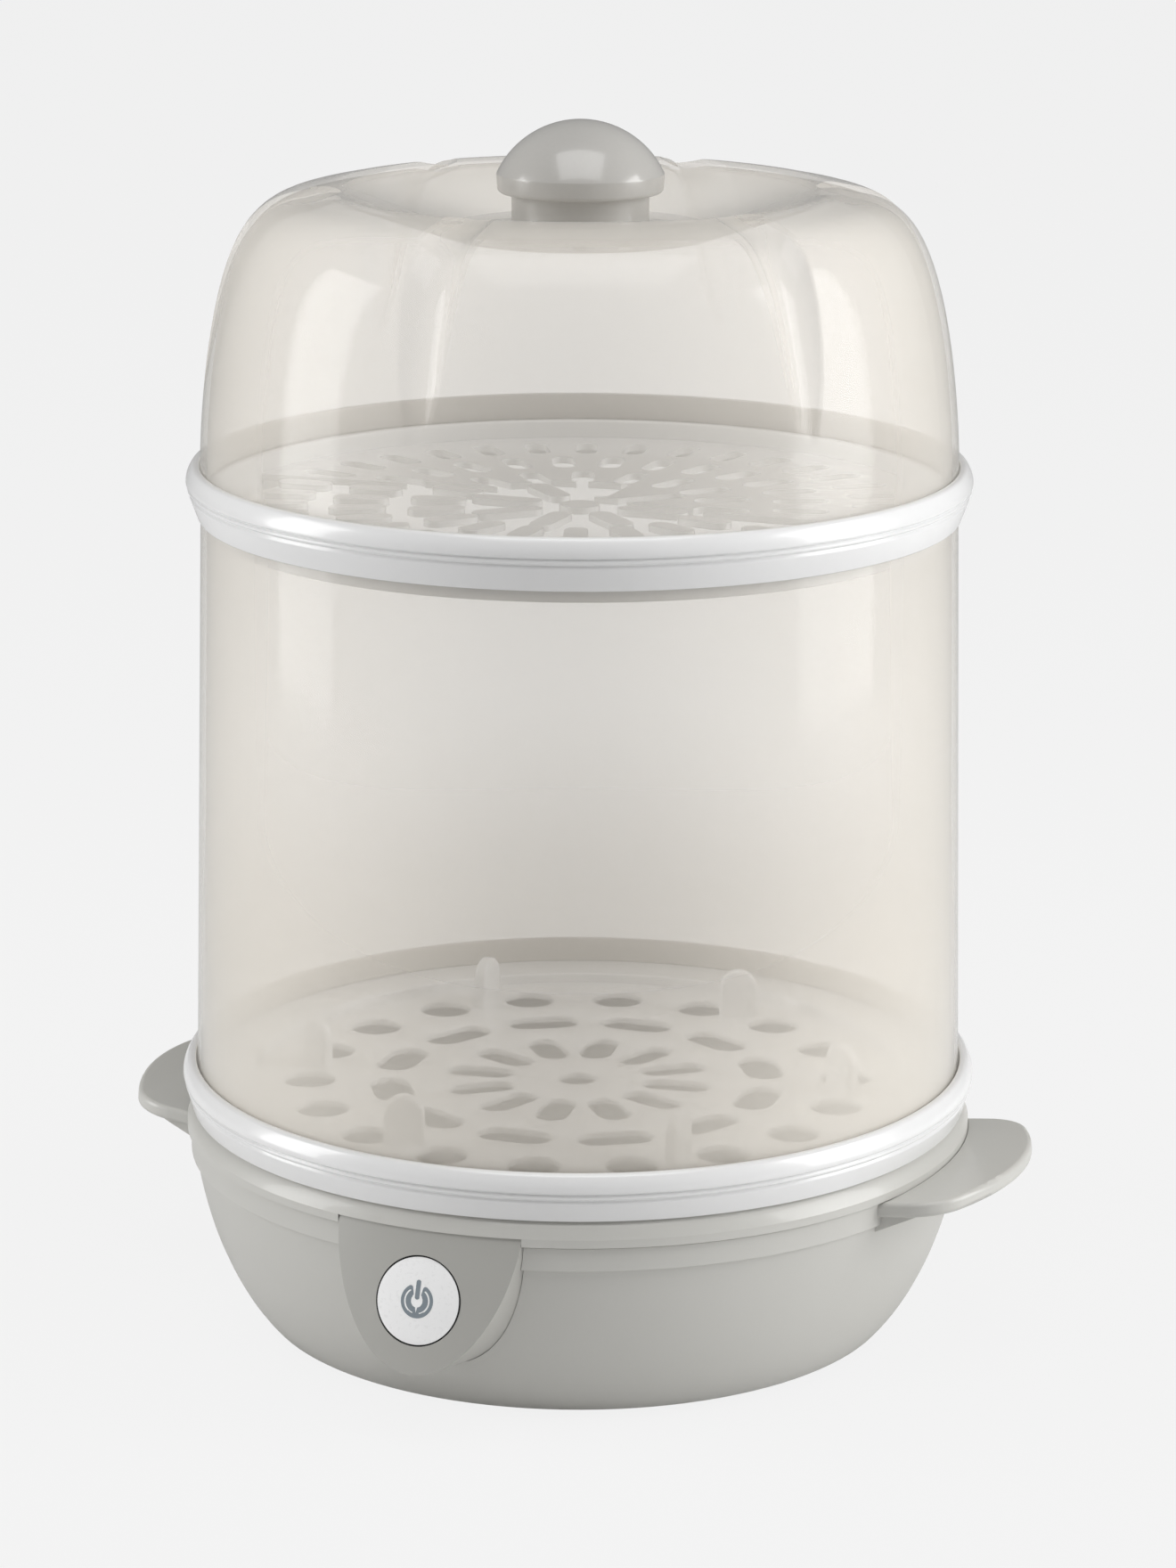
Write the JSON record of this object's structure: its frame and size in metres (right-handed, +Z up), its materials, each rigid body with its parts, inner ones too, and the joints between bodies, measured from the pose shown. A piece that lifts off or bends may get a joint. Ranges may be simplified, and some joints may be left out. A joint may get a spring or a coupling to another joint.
{
  "type": "baby bottle sterilizer",
  "caption": "Electric steam sterilizer for baby bottles: grey base with side handles, clear cylinder between white trays, and a clear fluted lid with a round knob.",
  "frame": {"origin": "centre of the base on the table, at the underside of the feet", "axes": "+Z up along the axis of the base, cylinder and lid; -Y is the front with the panel and button; the handles lie along X"},
  "size_m": [0.281, 0.249, 0.3615],
  "materials": {
    "base_plastic": "warm light grey, satin to gloss moulded plastic",
    "panel_plastic": "slightly darker warm grey, satin moulded plastic",
    "button_plastic": "white, glossy moulded plastic",
    "inner_plastic": "plain white moulded plastic",
    "board": "green circuit board laminate",
    "relay_plastic": "black component housing",
    "screw_steel": "zinc plated steel",
    "plate_steel": "brushed stainless steel",
    "seal_rubber": "soft dark grey rubber",
    "bracket_steel": "stamped plated steel",
    "spreader_aluminium": "cast and drawn aluminium",
    "bead_ceramic": "white unglazed ceramic",
    "fuse_steel": "plated metal can",
    "cover_plastic": "warm grey, matt moulded plastic",
    "terminal_brass": "plain brass",
    "tray_plastic": "white, glossy moulded plastic",
    "clear_plastic": "smoky clear polycarbonate, polished",
    "knob_plastic": "light grey, glossy moulded plastic"
  },
  "bodies": {
    "base": {"base_housing": "base_plastic", "control_panel": "panel_plastic", "power_switch": "inner_plastic", "control_board": "board", "board_relay": "relay_plastic", "board_screws": "screw_steel", "water_reservoir": "base_plastic", "heating_plate": "plate_steel", "plate_seal": "seal_rubber", "plate_clamp": "bracket_steel", "clamp_screws": "screw_steel", "heat_spreader": "spreader_aluminium", "heating_element": "spreader_aluminium", "element_beads": "bead_ceramic", "element_pins": "screw_steel", "thermostat": "bead_ceramic", "thermostat_bracket": "bracket_steel", "bracket_screws": "screw_steel", "thermal_fuse": "fuse_steel", "fuse_clip": "bracket_steel", "bottom_cover": "cover_plastic", "cover_screws": "screw_steel", "rubber_feet": "seal_rubber", "cord_bushing": "seal_rubber", "cord_clamp": "inner_plastic", "cord_clamp_screws": "screw_steel", "terminal_block": "inner_plastic", "terminal_screws": "terminal_brass"},
    "button": {"power_button": "button_plastic", "switch_plunger": "inner_plastic"},
    "lower_tray": {"lower_tray": "tray_plastic"},
    "cylinder": {"steam_cylinder": "clear_plastic"},
    "upper_tray": {"upper_tray": "tray_plastic"},
    "lid": {"lid": "clear_plastic", "lid_knob": "knob_plastic", "knob_screw": "screw_steel", "knob_washer": "seal_rubber"}
  },
  "joints": [
    {"name": "button_press", "type": "slide", "parent": "base", "child": "button", "axis": [0, 0.9578, -0.2873], "range_m": [0, 0.0015], "stiffness_N_per_m": 1200, "springref_m": -0.0005},
    {"name": "lower_tray_lift", "type": "slide", "parent": "base", "child": "lower_tray", "axis": [0, 0, 1], "range_m": [0, 0.1]},
    {"name": "cylinder_lift", "type": "slide", "parent": "lower_tray", "child": "cylinder", "axis": [0, 0, 1], "range_m": [0, 0.1]},
    {"name": "upper_tray_lift", "type": "slide", "parent": "cylinder", "child": "upper_tray", "axis": [0, 0, 1], "range_m": [0, 0.1]},
    {"name": "lid_lift", "type": "slide", "parent": "upper_tray", "child": "lid", "axis": [0, 0, 1], "range_m": [0, 0.15]}
  ]
}
